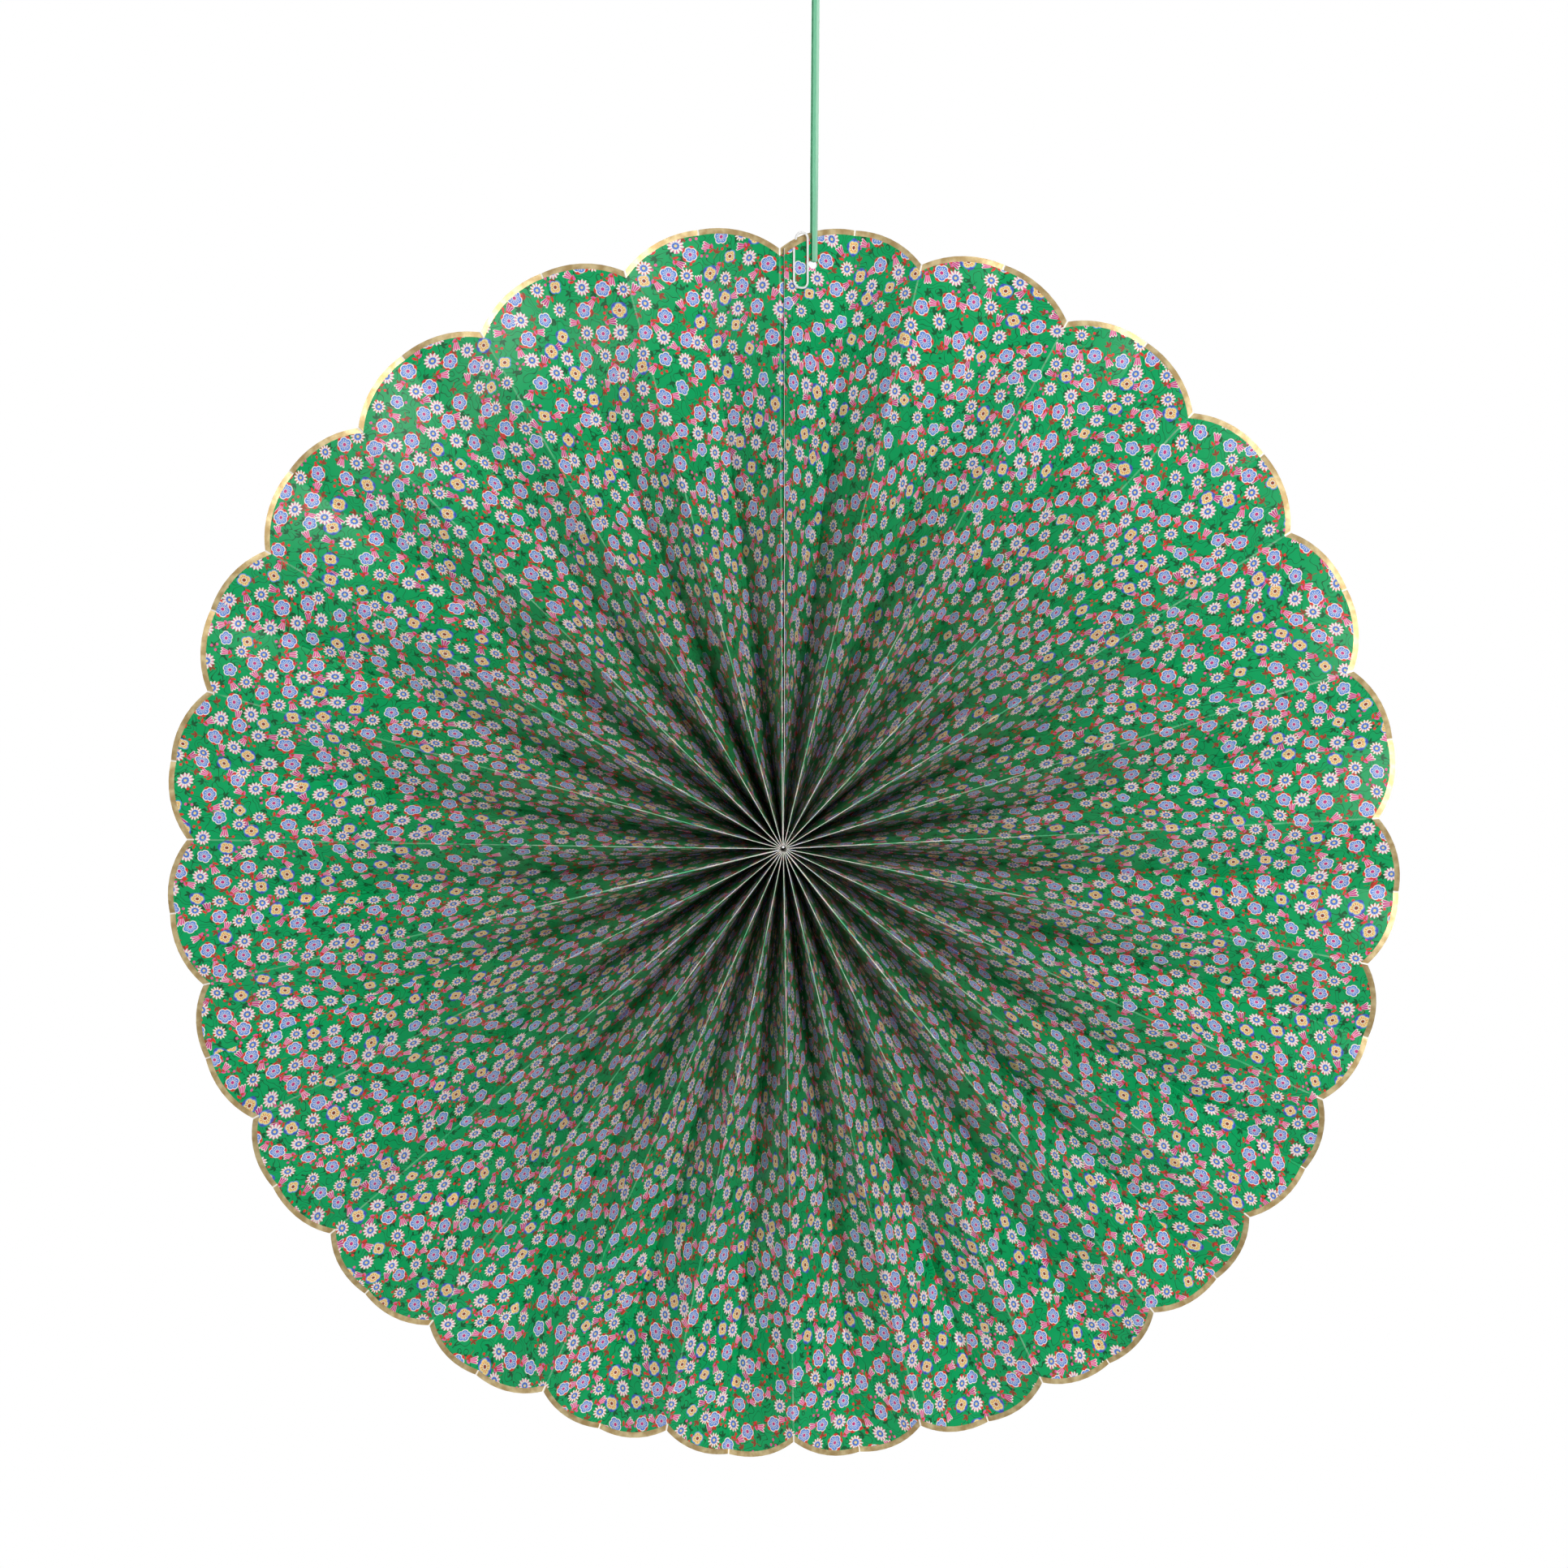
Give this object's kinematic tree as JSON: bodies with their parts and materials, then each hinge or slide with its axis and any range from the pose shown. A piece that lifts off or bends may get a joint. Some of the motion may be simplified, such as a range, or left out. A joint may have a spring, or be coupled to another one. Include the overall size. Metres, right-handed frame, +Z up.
{
  "type": "paper fan medallion",
  "caption": "Round wall medallion of accordion-pleated printed card with a scalloped gold rim, clipped into a full circle and hung by a flat ribbon through a punched hole.",
  "frame": {"origin": "centre of the hub, halfway through the medallion's depth", "axes": "+Z up to the hanging ribbon, -Y out of the printed front, +X to the right seen from the front"},
  "size_m": [0.6014, 0.0392, 0.7361],
  "materials": {
    "printed_card": "satin printed front, plain white back, gold foil along the scalloped edge",
    "thread": "twisted cotton",
    "clip_coating": "smooth white vinyl over steel wire",
    "ribbon": "fine woven satin ribbon"
  },
  "bodies": {
    "root": {"pleated_sheet_right": "printed_card", "pleated_sheet_bottom": "printed_card", "pleated_sheet_left": "printed_card", "hub_thread": "thread", "paper_clip": "clip_coating", "hanging_ribbon": "ribbon", "ribbon_knot": "ribbon"}
  },
  "joints": []
}
